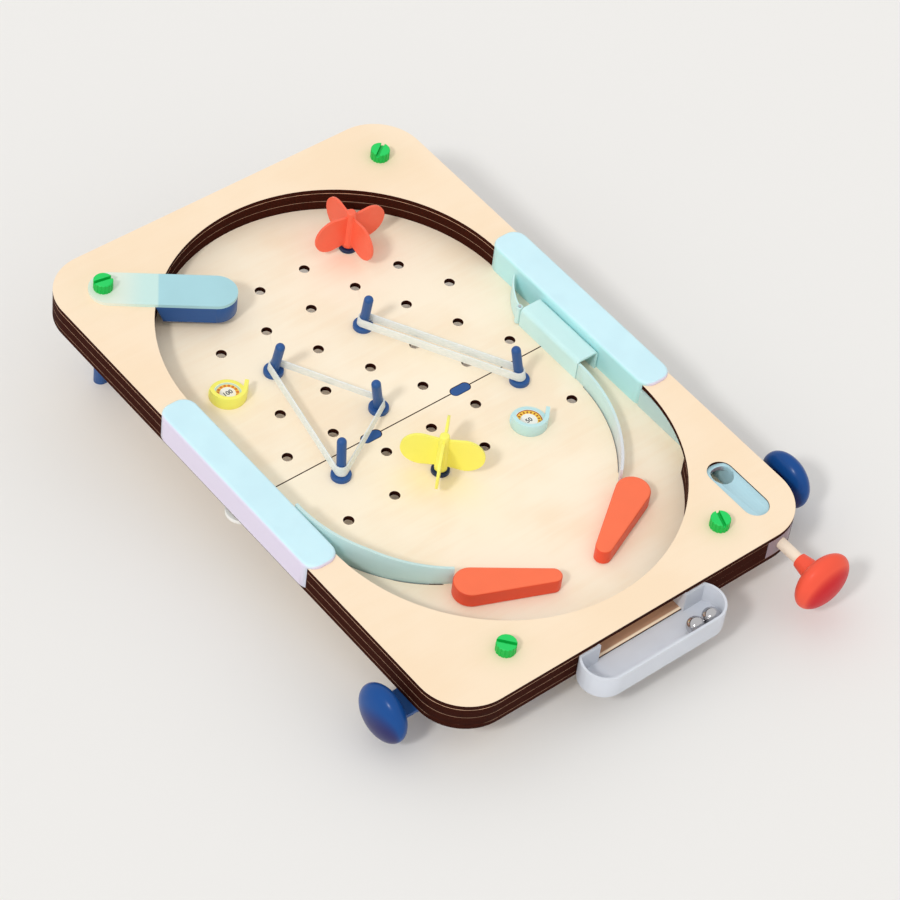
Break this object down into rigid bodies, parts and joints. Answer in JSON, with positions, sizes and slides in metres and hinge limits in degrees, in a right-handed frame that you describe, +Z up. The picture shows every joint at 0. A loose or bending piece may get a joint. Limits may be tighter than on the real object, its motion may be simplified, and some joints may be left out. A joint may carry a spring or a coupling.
{
  "type": "tabletop pinball game",
  "caption": "Tilted wooden tabletop pinball board in two clipped halves, with push-button flippers, a spring plunger, spinners, pegs with stretched bands, score cups and a ball tray.",
  "frame": {"origin": "middle of the outline's bounding box, on the table", "axes": "+X to the player's right, +Y away from the player toward the raised end, +Z up; the board slopes down toward the player"},
  "size_m": [0.2856, 0.3982, 0.0788],
  "materials": {
    "wood": "laser-cut pale plywood with dark burnt edges",
    "mint": "pale mint translucent printed plastic",
    "aqua": "pale aqua translucent printed plastic",
    "deflector_aqua": "see-through aqua plastic",
    "tray": "milky grey-lilac translucent plastic",
    "blue": "glossy blue plastic",
    "green": "matt green plastic",
    "coral": "satin coral plastic",
    "yellow": "satin lemon plastic",
    "pale_blue": "satin pale blue plastic",
    "cream": "pale turned wood",
    "white": "white plastic",
    "steel": "polished steel",
    "spring_steel": "drawn spring wire",
    "band": "milky stretched rubber",
    "print": "printed paper disc"
  },
  "bodies": {
    "board": {"playfield_rear": "wood", "playfield_front": "wood", "top_cover_rear": "wood", "top_cover_front": "wood", "seam_keys": "blue", "seam_nuts": "white", "corner_screws": "green", "rear_legs": "blue", "front_feet": "blue", "deflector_arm": "deflector_aqua", "deflector_block": "blue", "left_guide": "aqua", "right_guide": "aqua", "lane_tunnel": "mint", "lane_liner": "mint", "gate_pin": "spring_steel", "launcher_housing": "aqua", "plunger_spring": "spring_steel", "ball_tray": "tray", "pegs": "blue", "rubber_band_left": "band", "rubber_band_right": "band", "spinner_posts": "blue", "yellow_cup": "yellow", "blue_cup": "pale_blue", "yellow_cup_label": "print", "blue_cup_label": "print", "bar_brackets": "blue", "spring_anchor": "blue", "lower_spacer_rear": "wood", "lower_spacer_left": "wood", "lower_spacer_middle": "wood", "lower_spacer_right": "wood", "upper_spacer_rear": "wood", "upper_spacer_left": "wood", "upper_spacer_middle": "wood", "upper_spacer_right": "wood", "side_clip_left": "mint", "bar_spring_left": "spring_steel", "side_clip_right": "mint", "bar_spring_right": "spring_steel"},
    "plunger": {"plunger_rod": "cream", "plunger_knob": "coral"},
    "left_button": {"push_bar_left": "blue", "side_knob_left": "blue"},
    "right_button": {"push_bar_right": "blue", "side_knob_right": "blue"},
    "left_flipper": {"flipper_left": "coral", "flipper_crank_left": "blue"},
    "right_flipper": {"flipper_right": "coral", "flipper_crank_right": "blue"},
    "red_wheel": {"red_spinner": "coral"},
    "yellow_wheel": {"yellow_spinner": "yellow"},
    "gate": {"lane_gate": "mint"},
    "ball_pair": {"balls": "steel"}
  },
  "joints": [
    {"name": "plunger_pull", "type": "slide", "parent": "board", "child": "plunger", "axis": [0, -0.9954, -0.0958], "range_m": [0, 0.02], "stiffness_N_per_m": 120, "springref_m": -0.008, "deforming": ["plunger_spring"]},
    {"name": "left_push", "type": "slide", "parent": "board", "child": "left_button", "axis": [1, 0, 0], "range_m": [0, 0.00752], "stiffness_N_per_m": 180, "springref_m": -0.004, "deforming": ["bar_spring_left"]},
    {"name": "right_push", "type": "slide", "parent": "board", "child": "right_button", "axis": [-1, 0, 0], "range_m": [0, 0.00752], "stiffness_N_per_m": 180, "springref_m": -0.004, "deforming": ["bar_spring_right"]},
    {"name": "left_flipper_swing", "type": "hinge", "parent": "board", "child": "left_flipper", "pos_m": [-0.054, -0.0911, 0.02936], "axis": [0, -0.0958, 0.9954], "range_deg": [0, 50]},
    {"name": "right_flipper_swing", "type": "hinge", "parent": "board", "child": "right_flipper", "pos_m": [0.054, -0.0911, 0.02936], "axis": [0, 0.0958, -0.9954], "range_deg": [0, 50]},
    {"name": "red_spin", "type": "hinge", "parent": "board", "child": "red_wheel", "pos_m": [0.045, 0.1351, 0.06119], "axis": [0, -0.0958, 0.9954], "continuous": true},
    {"name": "yellow_spin", "type": "hinge", "parent": "board", "child": "yellow_wheel", "pos_m": [-0.015, -0.02006, 0.04625], "axis": [0, -0.0958, 0.9954], "continuous": true},
    {"name": "gate_swing", "type": "hinge", "parent": "board", "child": "gate", "pos_m": [0.087, 0.04021, 0.04803], "axis": [0, -0.0958, 0.9954], "range_deg": [0, 25]},
    {"name": "balls_roll", "type": "slide", "parent": "board", "child": "ball_pair", "axis": [1, 0, 0], "range_m": [-0.0585, 0]}
  ],
  "couplings": [
    {"joint": "left_flipper_swing", "follows": "left_push", "rad_per_m": 116.01},
    {"joint": "right_flipper_swing", "follows": "right_push", "rad_per_m": 116.01}
  ]
}
